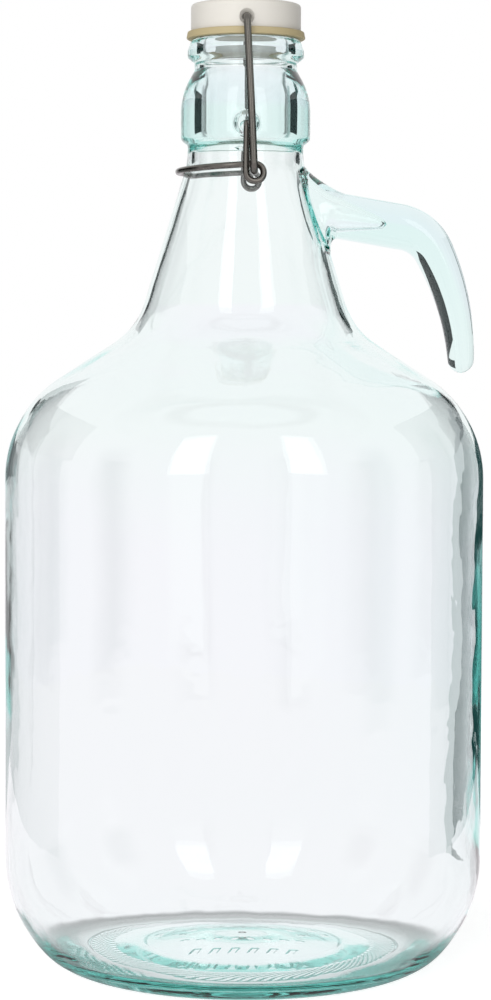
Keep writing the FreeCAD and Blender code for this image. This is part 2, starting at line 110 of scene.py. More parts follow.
INSIDE = [
    (0.0, PUSH_UP + BASE_WALL, 0.0),
    (DOME_RADIUS, PUSH_UP + BASE_WALL, 60.0),
    (RING_IN + BASE_WALL, BASE_WALL, 60.0),
    (FLOOR_EDGE, BASE_WALL, 9.0),
    (BELT_RADIUS - BODY_WALL, HEEL_IN_UP, 40.0),
    (BELT_RADIUS - BODY_WALL, SHOULDER_UP - BODY_WALL * math.tan(shoulder_slope / 2), 41.0),
    (ROOT_RADIUS - BODY_WALL * math.cos(half_sum) / math.cos(half_gap),
     ROOT_UP - BODY_WALL * math.sin(half_sum) / math.cos(half_gap), 27.0),
    (NECK_RADIUS - NECK_WALL, NECK_FOOT_UP - NECK_WALL * math.tan(neck_slope / 2), 12.0),
    (NECK_RADIUS - NECK_WALL, BAND_UP - 1.6, 3.6),
    (MOUTH_RADIUS, BAND_UP + 2.4, 3.6),
    (MOUTH_RADIUS, RIM_UP - 8.0, 0.0),
]


def straight(start, end, step):
    """Points after the start of a line and up to its end, no further apart than the step."""
    count = max(2, math.ceil(np.linalg.norm(end - start) / step))
    return [start + (end - start) * share / count for share in range(1, count + 1)]


def arc(start, end, centre, turn, steps):
    """Points on an arc from its start to its end."""
    first = start - centre
    sign = 1 if np.cross(first, end - centre) > 0 else -1
    points = []
    for share in range(steps + 1):
        angle = sign * turn * share / steps
        cos, sin = math.cos(angle), math.sin(angle)
        points.append(centre + np.array((first[0] * cos - first[1] * sin, first[0] * sin + first[1] * cos)))
    return points


def rounded(corners, step=0.4):
    """Points along an outline whose corners are rounded, no further apart than the step."""
    places = [np.array(corner[:2], float) for corner in corners]
    here = places[0]
    stops = [here]
    for index in range(1, len(corners) - 1):
        corner, rounding = places[index], corners[index][2]
        back = places[index - 1] - corner
        ahead = places[index + 1] - corner
        back /= np.linalg.norm(back)
        ahead /= np.linalg.norm(ahead)
        half = (math.pi - math.acos(np.clip(back @ ahead, -1, 1))) / 2
        reach = rounding * math.tan(half)
        inward = (back + ahead) / np.linalg.norm(back + ahead)
        centre = corner + inward * rounding / math.cos(half)
        steps = max(4, math.ceil(rounding * 2 * half / step))
        start, end = corner + back * reach, corner + ahead * reach
        stops += straight(here, start, step)[:-1]
        stops += arc(start, end, centre, 2 * half, steps)
        here = end
    return stops + straight(here, places[-1], step)


def thinned(stops, gap_at):
    """The same outline without points closer together than the gap wanted at their height."""
    kept = [stops[0]]
    for stop in stops[1:-1]:
        if np.linalg.norm(stop - kept[-1]) >= gap_at(stop[1]):
            kept.append(stop)
    kept.append(stops[-1])
    return np.array(kept)


def outside_gap(height):
    """How fine the outside is made: coarse on the body, fine on the neck and the lip."""
    if height < 8:
        return 0.8
    if height < ROOT_UP:
        return 2.2
    return 1.0 if height < BAND_UP - 6 else 0.45


def inside_gap(height):
    """How fine the inside is made."""
    if height < 16:
        return 1.2
    return 2.4 if height < ROOT_UP else 0.9


outside = thinned(rounded(OUTSIDE), outside_gap)
inside = thinned(rounded(INSIDE), inside_gap)


def radius_along(stops):
    """A function that gives an outline's radius at a height."""
    order = np.argsort(stops[:, 1])
    return lambda height: np.interp(height, stops[order, 1], stops[order, 0])


# The rim and the mouth come after the outside's highest point, so they are left out.
outside_radius = radius_along(outside[:np.argmax(outside[:, 1]) + 1])
inside_radius = radius_along(inside)

COLUMNS = 192
ANGLES = np.arange(COLUMNS) * 2 * math.pi / COLUMNS


class GlassMesh:
    """Points and faces of the glass, gathered surface by surface."""

    def __init__(self):
        self.points = []
        self.faces = []

    def ring(self, places):
        """Adds a closed row of points and returns their numbers."""
        start = len(self.points)
        self.points.extend(tuple(place) for place in places)
        return list(range(start, len(self.points)))

    def join(self, lower, upper, flip=False):
        """Quads between two closed rows of the same length."""
        count = len(lower)
        for index in range(count):
            after = (index + 1) % count
            face = (lower[index], lower[after], upper[after], upper[index])
            self.faces.append(face[::-1] if flip else face)

    def stack(self, last, rows, flip=False):
        """Adds rows of places one after another, each joined to the one before, from the last row."""
        for places in rows:
            row = self.ring(places)
            self.join(last, row, flip)
            last = row
        return last

    def close(self, row, place, flip=False):
        """Triangles from a closed row to one point."""
        tip = self.ring([place])[0]
        count = len(row)
        for index in range(count):
            face = (row[index], row[(index + 1) % count], tip)
            self.faces.append(face[::-1] if flip else face)

    def wall(self, stops, windows, waver, flip=False):
        """A wall turned about the axis, with windows left open for what joins it.

        Each window is (middle column, half width in columns, lowest height, highest height).
        Returns the wall's rows, and for each window the closed row of points round it.
        """
        rows = []
        for radius, height in stops:
            radii = [radius + waver(angle, height) for angle in ANGLES]
            rows.append(self.ring([(here * math.cos(angle), here * math.sin(angle), height)
                                   for here, angle in zip(radii, ANGLES)]))
        blocks = []
        for middle, half, low, high in windows:
            first = min(index for index, stop in enumerate(stops) if stop[1] >= low)
            last = max(index for index, stop in enumerate(stops) if stop[1] <= high)
            blocks.append((middle - half, middle + half, first, last))
        for level in range(len(rows) - 1):
            for column in range(COLUMNS):
                if any((column - left) % COLUMNS < right - left and first <= level < last
                       for left, right, first, last in blocks):
                    continue
                after = (column + 1) % COLUMNS
                face = (rows[level][column], rows[level][after],
                        rows[level + 1][after], rows[level + 1][column])
                self.faces.append(face[::-1] if flip else face)
        borders = []
        for left, right, first, last in blocks:
            border = [rows[first][column % COLUMNS] for column in range(left, right)]
            border += [rows[level][right % COLUMNS] for level in range(first, last)]
            border += [rows[last][column % COLUMNS] for column in range(right, left, -1)]
            border += [rows[level][left % COLUMNS] for level in range(last, first, -1)]
            borders.append(border)
        return rows, borders


def still(angle, height):
    """The mould leaves the outside true."""
    return 0.0


def wander(angle, height):
    """How far the blown inside departs from true, in mm, least in the pressed mouth."""
    share = np.interp(height, (18, 50, 215, 250, NECK_FOOT_UP), (0, 1, 1, 0.5, 0))
    waves = -0.60 * math.cos(angle)
    waves += 0.18 * math.sin(2 * angle + height / 31 + 1.0)
    waves += 0.12 * math.sin(3 * angle - height / 37)
    waves += 0.08 * math.sin(5 * angle + height / 17 + 2.0)
    shoulder = math.exp(-((height - 225) / 14) ** 2)
    waves += shoulder * 0.10 * math.sin(9 * angle + height / 5)
    waves += shoulder * 0.08 * math.sin(13 * angle - height / 4)
    return share * waves


glass = GlassMesh()
outside_rows, outside_borders = glass.wall(outside, [
    (0, 20, HANDLE_UP - 23, HANDLE_UP + 21),
    (COLUMNS // 4, 8, PIVOT_UP - 6.0, PIVOT_UP + 6.0),
    (3 * COLUMNS // 4, 8, PIVOT_UP - 6.0, PIVOT_UP + 6.0),
], still)
inside_rows, inside_borders = glass.wall(inside[1:], [
    (0, 11, HANDLE_UP - 17, HANDLE_UP + 14),
], wander, True)
glass.close(inside_rows[0], (0, 0, PUSH_UP + BASE_WALL), True)
# Both walls end in the mouth at the same height and meet there.
glass.join(outside_rows[-1], inside_rows[-1])


def unrolled(border, middle_angle, middle_up):
    """Each border point's place across and up from the window's middle, on the unrolled wall."""
    places = []
    for number in border:
        x, y, z = glass.points[number]
        along = (math.atan2(y, x) - middle_angle + math.pi) % (2 * math.pi) - math.pi
        places.append((along * math.hypot(x, y), z - middle_up))
    return places


def on_wall(radius_at, middle_angle, across, height):
    """A point on a turned wall, this far round from the window's middle."""
    radius = radius_at(height)
    angle = middle_angle + across / radius
    return np.array((radius * math.cos(angle), radius * math.sin(angle), height))


def oval_in(border, radius_at, middle_angle, middle_up, half_wide, half_high, rows, flip=False):
    """Fills a window from its square border in to an oval. Returns the oval and its turns."""
    outer = unrolled(border, middle_angle, middle_up)
    turns = [math.atan2(high, wide) for wide, high in outer]
    oval = [(half_wide * math.cos(turn), half_high * math.sin(turn)) for turn in turns]
    filled = []
    for level in range(1, rows + 1):
        share = level / rows
        filled.append([on_wall(radius_at, middle_angle, wide + (inner_wide - wide) * share,
                               middle_up + high + (inner_high - high) * share)
                       for (wide, high), (inner_wide, inner_high) in zip(outer, oval)])
    return glass.stack(border, filled, flip), turns


# ---------------------------------------------------------------------------------------------
# The glass, its handle. A gob of the same glass is pressed on to the neck, drawn out and hooked
# down while it is soft, so it is solid, deep at its run and slim at its end. Air is drawn into its
# root from the neck and leaves a tapering hollow.
# ---------------------------------------------------------------------------------------------
HANDLE_OUT = NECK_RADIUS + (NECK_FOOT_UP - HANDLE_UP) * NECK_TAN
RUN_FALL = math.radians(9.8)
HANDLE_RUN = 31.5
HANDLE_BEND = 17.0
HANDLE_TURN = math.radians(63)
GRIP_RADIUS = 96.0
GRIP_END = math.radians(88)
DEPTH, BREADTH = 17.0, 19.0
END_DEPTH, END_BREADTH = 9.8, 12.5
FOOT_WIDE, FOOT_HIGH = 13.5, 17.5
ROOT_REACH = 9.0
ROW_GAP = 1.1
bend_length = HANDLE_BEND * (HANDLE_TURN - RUN_FALL)
handle_length = HANDLE_RUN + bend_length + GRIP_RADIUS * (GRIP_END - HANDLE_TURN)


def handle_place(distance):
    """Place and fall of the handle's middle line, this far from the neck."""
    run = min(distance, HANDLE_RUN)
    across = HANDLE_OUT + run * math.cos(RUN_FALL)
    up = HANDLE_UP - run * math.sin(RUN_FALL)
    if distance <= HANDLE_RUN:
        return across, up, RUN_FALL
    fall = min((distance - HANDLE_RUN) / HANDLE_BEND, HANDLE_TURN - RUN_FALL) + RUN_FALL
    across += HANDLE_BEND * (math.sin(fall) - math.sin(RUN_FALL))
    up -= HANDLE_BEND * (math.cos(RUN_FALL) - math.cos(fall))
    if distance > HANDLE_RUN + bend_length:
        fall = HANDLE_TURN + (distance - HANDLE_RUN - bend_length) / GRIP_RADIUS
        across += GRIP_RADIUS * (math.sin(fall) - math.sin(HANDLE_TURN))
        up -= GRIP_RADIUS * (math.cos(HANDLE_TURN) - math.cos(fall))
    return across, up, fall


def handle_oval(distance, half_deep, half_broad, turns, forward=0.0):
    """A row of points on an oval square to the handle, this far along it."""
    across, up, fall = handle_place(distance)
    across += forward * math.cos(fall)
    up -= forward * math.sin(fall)
    places = []
    for turn in turns:
        high = half_deep * math.sin(turn)
        places.append(np.array((across + high * math.sin(fall), half_broad * math.cos(turn),
                                up + high * math.cos(fall))))
    return places


def handle_row(distance, turns, shrink=1.0, forward=0.0):
    """A row of points round the handle, this far along it."""
    share = min(max((distance - HANDLE_RUN) / (handle_length - HANDLE_RUN), 0), 1)
    depth = DEPTH + (END_DEPTH - DEPTH) * share
    breadth = BREADTH + (END_BREADTH - BREADTH) * share
    return handle_oval(distance, depth / 2 * shrink, breadth / 2 * shrink, turns, forward)


def pulls_inward(places, turns, radius_at, middle_up, half_wide, half_high, length):
    """Pulls of this length that leave an oval on the wall towards its middle."""
    pulls = []
    for place, turn in zip(places, turns):
        wide = half_wide * 0.9 * math.cos(turn)
        high = half_high * 0.9 * math.sin(turn)
        inward = on_wall(radius_at, 0.0, wide, middle_up + high) - place
        pulls.append(inward / np.linalg.norm(inward) * length)
    return pulls


def flowing(start, start_pulls, end, end_pull, rows):
    """Rows that leave one row along its pulls and come to another along one pull."""
    made = []
    for level in range(1, rows):
        t = level / rows
        a, b = 2 * t**3 - 3 * t**2 + 1, t**3 - 2 * t**2 + t
        c, d = 3 * t**2 - 2 * t**3, t**3 - t**2
        made.append([here * a + pull * b + there * c + end_pull * d
                     for here, pull, there in zip(start, start_pulls, end)])
    return made


run_way = np.array((math.cos(RUN_FALL), 0.0, -math.sin(RUN_FALL)))
foot_row, foot_turns = oval_in(outside_borders[0], outside_radius, 0.0, HANDLE_UP,
                               FOOT_WIDE, FOOT_HIGH, rows=5)
foot = [np.array(glass.points[number]) for number in foot_row]
foot_pulls = pulls_inward(foot, foot_turns, outside_radius, HANDLE_UP, FOOT_WIDE, FOOT_HIGH, length=10.0)
root = flowing(foot, foot_pulls, handle_row(ROOT_REACH, foot_turns), run_way * 9.0, rows=12)
grip = [handle_row(distance, foot_turns) for distance in np.arange(ROOT_REACH, handle_length, ROW_GAP)]
tip = [handle_row(handle_length, foot_turns, math.cos(turn), END_DEPTH / 2 * math.sin(turn))
       for turn in np.radians((0, 15, 30, 45, 58, 70, 80, 86))]
across, up, fall = handle_place(handle_length)
glass.close(glass.stack(foot_row, root + grip + tip),
            (across + END_DEPTH / 2 * math.cos(fall), 0, up - END_DEPTH / 2 * math.sin(fall)))

HOLLOW_DEPTH = 9.0
HOLLOW_LENGTH = 25.5
HOLLOW_START = 0.22
HOLLOW_UP = HANDLE_UP - 1.0
HOLLOW_WIDE, HOLLOW_HIGH = 6.5, 12.5
TAPER_SHARES = (0.2, 0.45, 0.7, 0.88, 0.97, 1)
DEPTH_TAPER = (1, 0.72, 0.48, 0.33, 0.2, 0.08)
BREADTH_TAPER = (0.85, 0.62, 0.42, 0.3, 0.2, 0.08)


def hollow_row(distance, turns):
    """A row of points round the hollow, this far along the handle."""
    share = distance / HOLLOW_LENGTH
    half_deep = HOLLOW_DEPTH / 2 * np.interp(share, TAPER_SHARES, DEPTH_TAPER)
    half_broad = HOLLOW_DEPTH / 2 * np.interp(share, TAPER_SHARES, BREADTH_TAPER)
    return handle_oval(distance, half_deep, half_broad, turns)


eye_row, eye_turns = oval_in(inside_borders[0], inside_radius, 0.0, HOLLOW_UP,
                             HOLLOW_WIDE, HOLLOW_HIGH, rows=4, flip=True)
eye = [np.array(glass.points[number]) for number in eye_row]
eye_pulls = pulls_inward(eye, eye_turns, inside_radius, HOLLOW_UP, HOLLOW_WIDE, HOLLOW_HIGH, length=5.0)
hollow_start = HOLLOW_START * HOLLOW_LENGTH
throat = flowing(eye, eye_pulls, hollow_row(hollow_start, eye_turns), run_way * 7.0, rows=8)
taper = [hollow_row(distance, eye_turns) for distance in np.linspace(hollow_start, HOLLOW_LENGTH, 22)]
across, up, fall = handle_place(HOLLOW_LENGTH + 0.3)
glass.close(glass.stack(eye_row, throat + taper, True), (across, 0, up), True)

# ---------------------------------------------------------------------------------------------
# The glass, its dimples. Two blunt cones pressed into the band, one on each side, hold the pins of
# the lever.
# ---------------------------------------------------------------------------------------------
DIMPLE_MOUTH = 5.0
DIMPLE_DEPTH = 3.4
# Rings of (radius, depth) from the rounded edge down to the flat at the bottom.
DIMPLE_RINGS = ((4.75, 0.08), (4.5, 0.35), (4.2, 1.0), (3.8, 2.0), (3.4, 3.0), (3.1, 3.35),
                (2.4, DIMPLE_DEPTH), (1.2, DIMPLE_DEPTH))
for border, side in ((outside_borders[1], 1), (outside_borders[2], -1)):
    row, turns = oval_in(border, outside_radius, side * math.pi / 2, PIVOT_UP,
                         DIMPLE_MOUTH, DIMPLE_MOUTH, rows=2)
    rings = []
    for radius, deep in DIMPLE_RINGS:
        places = []
        for turn in turns:
            wide = radius * math.cos(turn)
            out = math.sqrt(BAND_RADIUS**2 - wide**2) - deep
            if deep > 0.5:
                out = min(out, BAND_RADIUS - deep * 0.98)
            places.append((-side * wide, side * out, PIVOT_UP + radius * math.sin(turn)))
        rings.append(places)
    glass.close(glass.stack(row, rings), (0, side * (BAND_RADIUS - DIMPLE_DEPTH), PIVOT_UP))

# ---------------------------------------------------------------------------------------------
# The glass, its base. Pressed by the mould's bottom plate: a standing ring with short slanting
# ribs, which keep the hot base off the belt, round a raised flat with plain bars and dots.
# ---------------------------------------------------------------------------------------------
FINE = 4
fine_angles = np.arange(COLUMNS * FINE) * 2 * math.pi / (COLUMNS * FINE)
STAND_UP = 0.45
RIBS = 90
RIB_IN, RIB_OUT, RIB_HEIGHT = 49.0, 56.5, 0.45
RIB_SLANT = 1 / 26
DISC_RADIUS = 36.0
DISC_EDGE = 0.35
MARK_HEIGHT = 0.6


def step(low, high, value):
    """A smooth step from 0 to 1."""
    share = min(max((value - low) / (high - low), 0.0), 1.0)
    return share * share * (3 - 2 * share)


def bar(x, y, half_long, half_wide):
    """A bar with rounded edges about the origin, from 0 to 1."""
    return step(0.35, -0.45, max(abs(x) - half_long, abs(y) - half_wide))


def arc_of_bars(x, y, radius, half_long, half_wide, count, start, spread):
    """A row of bars along an arc, from its start and over its spread in radians."""
    gap = spread / (count - 1)
    angle = math.atan2(y, x) - start
    number = round(angle / gap)
    if not 0 <= number < count:
        return 0.0
    return bar((angle - number * gap) * radius, math.hypot(x, y) - radius, half_long, half_wide)


def row_of_dots(x, y, left, low, gap, count):
    """A straight row of dots from its left end."""
    number = round((x - left) / gap)
    if not 0 <= number < count:
        return 0.0
    return step(1.5, 0.5, math.hypot(x - left - gap * number, y - low))


def row_of_bars(x, y, left, low, gap, count):
    """A straight row of leaning bars from its left end."""
    number = round((x - left) / gap)
    if not 0 <= number < count:
        return 0.0
    return bar(x - left - gap * number - (y - low) * 0.3, y - low, 1.3, 3.0)


def marks(x, y):
    """The height of the plain bars and dots in the base, from 0 to 1."""
    return max(
        arc_of_bars(x, y, radius=32.0, half_long=2.2, half_wide=1.0, count=9, start=0.28, spread=2.6),
        arc_of_bars(x, y, radius=22.0, half_long=1.7, half_wide=0.9, count=8, start=0.2, spread=2.75),
        row_of_dots(x, y, left=-21.0, low=-7.0, gap=6.0, count=8),
        row_of_bars(x, y, left=-17.5, low=-23.0, gap=7.0, count=6))


def rib(radius, angle):
    """The height of the ribs, from 0 to 1."""
    if not RIB_IN - 1 < radius < RIB_OUT + 1:
        return 0.0
    slanted = angle + (radius - RIB_IN) * RIB_SLANT
    off_middle = abs((slanted * RIBS / (2 * math.pi)) % 1 - 0.5) * 2
    ends = step(RIB_IN - 1, RIB_IN, radius) * step(RIB_OUT + 1, RIB_OUT, radius)
    return step(0.62, 0.25, off_middle) * ends


def underside(radius, angle):
    """The height of the underside of the base, in mm above the table."""
    share = min(max((RING_IN - radius) / (RING_IN - DOME_RADIUS + 6), 0.0), 1.0)
    height = STAND_UP + (PUSH_UP - STAND_UP) * (1 - math.cos(math.pi * share)) / 2
    beyond_disc = step(DISC_RADIUS - 0.4, DISC_RADIUS + 0.4, radius)
    height -= DISC_EDGE * beyond_disc * step(RING_IN - 1, DISC_RADIUS, radius)
    height -= RIB_HEIGHT * rib(radius, angle)
    if radius < DISC_RADIUS - 1:
        height += MARK_HEIGHT * marks(radius * math.cos(angle), radius * math.sin(angle))
    return height


# The base has more columns than the wall, so each point of the wall meets a fan of them.
stand_row = outside_rows[0]
stand_in = STAND_RADIUS * 0.993
fine_row = glass.ring([(stand_in * math.cos(angle), stand_in * math.sin(angle), STAND_UP)
                       for angle in fine_angles])
for column in range(COLUMNS):
    fan = [fine_row[(column * FINE + index) % len(fine_row)] for index in range(FINE + 1)]
    after = stand_row[(column + 1) % COLUMNS]
    for index in range(FINE):
        corner = stand_row[column] if index < FINE // 2 else after
        glass.faces.append((corner, fan[index], fan[index + 1]))
    glass.faces.append((stand_row[column], fan[FINE // 2], after))
rib_radii = np.arange(STAND_RADIUS - 1.0, 45, -0.55)
disc_radii = np.arange(44.6, 8, -0.5)
base_rows = [[(radius * math.cos(angle), radius * math.sin(angle), underside(radius, angle))
              for angle in fine_angles] for radius in (*rib_radii, *disc_radii, 6, 4, 2)]
glass.close(glass.stack(fine_row, base_rows, True), (0, 0, PUSH_UP), True)


def mesh_piece(name, points, faces, scale):
    """A smooth-shaded piece from points and faces."""
    mesh = bpy.data.meshes.new(name)
    mesh.from_pydata([tuple(float(value) * scale for value in point) for point in points], [], faces)
    mesh.validate()
    mesh.polygons.foreach_set("use_smooth", [True] * len(mesh.polygons))
    mesh.update()
    piece = bpy.data.objects.new(name, mesh)
    bpy.context.scene.collection.objects.link(piece)
    return piece


def new_material(name):
    """An empty node material, its node tree and its output node."""
    material = bpy.data.materials.new(name)
    material.use_nodes = True
    material.node_tree.nodes.clear()
    return material, material.node_tree, material.node_tree.nodes.new("ShaderNodeOutputMaterial")


def node(tree, kind, links=(), **values):
    """Adds a node, sets its own values and sockets, and links sockets to it.

    A value whose name is a property sets that. Any other sets the socket of that name, with _ for a
    space. Each link is (socket, output).
    """
    made = tree.nodes.new(kind)
    for key, value in values.items():
        if hasattr(made, key):
            setattr(made, key, value)
        else:
            made.inputs[key.replace("_", " ")].default_value = value
    for socket, output in links:
        tree.links.new(output, made.inputs[socket])
    return made


# Soda-lime glass, pressed and blown: clear through a thin wall, and aqua from the iron in its sand
# where light has a long way to go, as in the handle, the neck and the base. Its fire-polished skin
# has low ripples about 33 mm apart, so reflections waver.
RIPPLE_GAP = 100 / 3 * MM
aqua_glass, tree, out = new_material("soda_lime_glass_blown")
coords = node(tree, "ShaderNodeTexCoord")
waves = node(tree, "ShaderNodeTexNoise", [("Vector", coords.outputs["Object"])],
             Scale=1 / RIPPLE_GAP, Detail=2.5, Roughness=0.5)
ripple = node(tree, "ShaderNodeBump", [("Height", waves.outputs["Fac"])], Strength=0.14, Distance=2 * MM)
skin = node(tree, "ShaderNodeBsdfPrincipled", [("Normal", ripple.outputs["Normal"])],
            Base_Color=(1, 1, 1, 1), Roughness=0.0, IOR=1.52, Transmission_Weight=1.0)
tint = node(tree, "ShaderNodeVolumeAbsorption", Color=(0.10, 0.80, 0.74, 1), Density=15.0)
tree.links.new(skin.outputs["BSDF"], out.inputs["Surface"])
tree.links.new(tint.outputs["Volume"], out.inputs["Volume"])

bottle = mesh_piece("demijohn_glass", glass.points, glass.faces, MM)
bottle.data.materials.append(aqua_glass)
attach(bottle, "bottle")
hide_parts("bottle")

# ---------------------------------------------------------------------------------------------
# The wires. The lever grips the neck and the bail holds the stopper. Both are bent cold from drawn
# steel wire that is lightly galvanised, and the bail hooks into the lever's eyes.
# ---------------------------------------------------------------------------------------------


def linear(hex_colour):
    """A linear colour from an sRGB hex value."""
    values = [int(hex_colour[index:index + 2], 16) / 255 for index in (0, 2, 4)]
    return tuple(value / 12.92 if value <= 0.04045 else ((value + 0.055) / 1.055) ** 2.4
                 for value in values) + (1.0,)


def dress(name, material):
    """Gives a node of the frame one material in place of its own."""
    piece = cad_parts[name]
    piece.data.materials.clear()
    piece.data.materials.append(material)


# Drawn steel wire with a dull zinc skin: dark grey with a soft streak of light along it, broken by
# blotches in the zinc. They are finer on the real wire and drawn 1.4 mm wide so that they show.
BLOTCH = 10 / 7 * MM
wire_steel, tree, out = new_material("drawn_steel_wire_dull_zinc")
coords = node(tree, "ShaderNodeTexCoord")
blotch = node(tree, "ShaderNodeTexNoise", [("Vector", coords.outputs["Object"])],
              Scale=1 / BLOTCH, Detail=4.0)
dullness = node(tree, "ShaderNodeMapRange", [("Value", blotch.outputs["Fac"])],
                From_Min=0.35, From_Max=0.65, To_Min=0.15, To_Max=0.28)
skin = node(tree, "ShaderNodeBsdfPrincipled", [("Roughness", dullness.outputs["Result"])],
            Base_Color=linear("6a6762"), Metallic=1.0)
tree.links.new(skin.outputs["BSDF"], out.inputs["Surface"])
dress("lever", wire_steel)
dress("bail", wire_steel)

# ---------------------------------------------------------------------------------------------
# The stopper. A round head with a plug under it, moulded in off-white polypropylene round a cross
# bore that the bail runs through.
# ---------------------------------------------------------------------------------------------
# Moulded polypropylene: a satin skin with a fine grain from the mould, which spreads the light.
MOULD_GRAIN = 10 / 9 * MM
moulded, tree, out = new_material("polypropylene_moulded_off_white")
coords = node(tree, "ShaderNodeTexCoord")
grain = node(tree, "ShaderNodeTexNoise", [("Vector", coords.outputs["Object"])],
             Scale=1 / MOULD_GRAIN, Detail=3.0)
relief = node(tree, "ShaderNodeBump", [("Height", grain.outputs["Fac"])], Strength=0.08, Distance=0.3 * MM)
skin = node(tree, "ShaderNodeBsdfPrincipled", [("Normal", relief.outputs["Normal"])],
            Base_Color=linear("dcd8d0"), Roughness=0.42, IOR=1.49)
tree.links.new(skin.outputs["BSDF"], out.inputs["Surface"])
dress("stopper", moulded)

# ---------------------------------------------------------------------------------------------
# The gasket. A flat ring stamped from a sheet of tan natural rubber and stretched over the plug,
# where it seals against the lip.
# ---------------------------------------------------------------------------------------------
# Stamped natural rubber: matt and even, so its cut edge is a flat tan line with no shine.
tan_rubber, tree, out = new_material("natural_rubber_stamped_tan")
skin = node(tree, "ShaderNodeBsdfPrincipled", Base_Color=linear("b8a981"), Roughness=0.6)
tree.links.new(skin.outputs["BSDF"], out.inputs["Surface"])
dress("gasket", tan_rubber)

# ---------------------------------------------------------------------------------------------
# The table. A round sheet of matt white paper that the demijohn stands on. It glows a little, so
# that it comes out as white as the tent behind it.
# ---------------------------------------------------------------------------------------------
TABLE_RADIUS = 0.9


def set_stops(ramp, stops):
    """Gives a colour ramp these stops of (position, colour) and no others."""
    elements = ramp.color_ramp.elements
    while len(elements) > 1:
        elements.remove(elements[0])
    for index, (place, colour) in enumerate(stops):
        element = elements.new(place) if index else elements[0]
        element.position = place
        element.color = tuple(colour) + (1.0,)


def by_way_of_glass(tree):
    """1 for rays that have met the glass or the wire, and 0 for the others."""
    path = tree.nodes.new("ShaderNodeLightPath")
    rays = [(0, path.outputs["Is Glossy Ray"]), (1, path.outputs["Is Transmission Ray"])]
    return node(tree, "ShaderNodeMath", rays, operation="MAXIMUM").outputs["Value"]


edge = [(TABLE_RADIUS * math.cos(angle), TABLE_RADIUS * math.sin(angle), 0.0) for angle in ANGLES]
table = mesh_piece("table", edge, [tuple(range(len(edge)))], 1.0)
paper, tree, out = new_material("white_paper")
matt = node(tree, "ShaderNodeBsdfDiffuse", Color=(0.8, 0.8, 0.8, 1))
glow = node(tree, "ShaderNodeEmission", Color=(1, 1, 1, 1), Strength=0.74)
lit = tree.nodes.new("ShaderNodeAddShader")
tree.links.new(matt.outputs["BSDF"], lit.inputs[0])
tree.links.new(glow.outputs["Emission"], lit.inputs[1])
# Seen through the glass the table is as bright as the tent, but for a painted shadow: a ring under the heel,
# 66 to 80 mm off the axis, where its glow falls to 0.3.
LOW_TENT = np.array((0.985, 0.945, 0.975))
coords = node(tree, "ShaderNodeTexCoord")
off_axis = node(tree, "ShaderNodeVectorMath", [(0, coords.outputs["Object"])], operation="LENGTH")
shade = node(tree, "ShaderNodeValToRGB", [("Fac", off_axis.outputs["Value"])])
set_stops(shade, [(0.056, LOW_TENT), (0.066, 0.30 * LOW_TENT), (0.080, 0.30 * LOW_TENT), (0.091, LOW_TENT)])
within = node(tree, "ShaderNodeEmission", [("Color", shade.outputs["Color"])], Strength=1.0)
pick = node(tree, "ShaderNodeMixShader", [("Fac", by_way_of_glass(tree))])
tree.links.new(lit.outputs["Shader"], pick.inputs[1])
tree.links.new(within.outputs["Emission"], pick.inputs[2])
tree.links.new(pick.outputs["Shader"], out.inputs["Surface"])
table.data.materials.append(paper)

# ---------------------------------------------------------------------------------------------
# The cards and the windows. Cards stand just out of sight behind the object. The low ones point
# away from it and the high ones face it, so the edges of the glass are drawn dark while its middle
# stays clear. Two tall windows stand in front at the left and the right, brighter above than below.
# ---------------------------------------------------------------------------------------------
GREEN_CARD = (0.012, 0.05, 0.048)
GREY_CARD = (0.12, 0.13, 0.135)
PALE_CARD = (0.58, 0.60, 0.61)
SHINE_CARD = (0.30, 0.32, 0.32)
BLACK_CARD = (0.004, 0.006, 0.006)
WINDOW_Y = -0.9


def panel(name, stuff, near, far, low, high, colour, strength=1.0):
    """An upright glowing panel that the camera doesn't see and that throws no shadow."""
    corners = [near + (low,), far + (low,), far + (high,), near + (high,)]
    sheet = mesh_piece(name, corners, [(0, 1, 2, 3)], 1.0)
    sheet.visible_camera = False
    sheet.visible_diffuse = False
    sheet.visible_shadow = False
    surface, tree, out = new_material(f"{name}_{stuff}")
    glow = node(tree, "ShaderNodeEmission", Color=colour + (1,), Strength=strength)
    tree.links.new(glow.outputs["Emission"], out.inputs["Surface"])
    sheet.data.materials.append(surface)
    return sheet


panel("card_low_left", "felt", (-0.150, 0.29), (-0.45, 0.59), 0.0, 0.165, PALE_CARD)
panel("card_middle_left", "felt", (-0.150, 0.29), (-0.45, 0.59), 0.165, 0.235, GREY_CARD)
panel("card_low_right", "felt", (0.155, 0.29), (0.45, 0.585), 0.0, 0.235, GREEN_CARD)
panel("card_rim_right", "felt", (0.139, 0.29), (0.155, 0.29), 0.0, 0.235, PALE_CARD)
panel("card_high_left", "felt", (-0.150, 0.20), (-0.40, 0.20), 0.255, 0.37, BLACK_CARD)
panel("card_high_right", "felt", (0.150, 0.20), (0.40, 0.20), 0.255, 0.37, BLACK_CARD)
# These four only show as reflections.
for name, near, far, low, high, colour in (
        ("card_shine_left", (-0.33, 0.47), (-0.33, -0.02), 0.0, 0.25, SHINE_CARD),
        ("card_shine_right", (0.33, 0.47), (0.33, -0.02), 0.0, 0.25, GREEN_CARD),
        ("card_shine_high_left", (-0.33, 0.47), (-0.33, -0.05), 0.25, 0.42, BLACK_CARD),
        ("card_shine_high_right", (0.33, 0.47), (0.33, -0.05), 0.25, 0.42, BLACK_CARD)):
    panel(name, "felt", near, far, low, high, colour).visible_transmission = False
for name, left, right in (("window_left", -0.62, -0.27), ("window_right", 0.33, 0.68)):
    near, far = (left, WINDOW_Y), (right, WINDOW_Y)
    panel(name + "_low", "diffuser", near, far, 0.0, 0.36, (1, 1, 1), strength=1.12)
    panel(name + "_high", "diffuser", near, far, 0.36, 1.15, (1, 1, 1), strength=2.4)

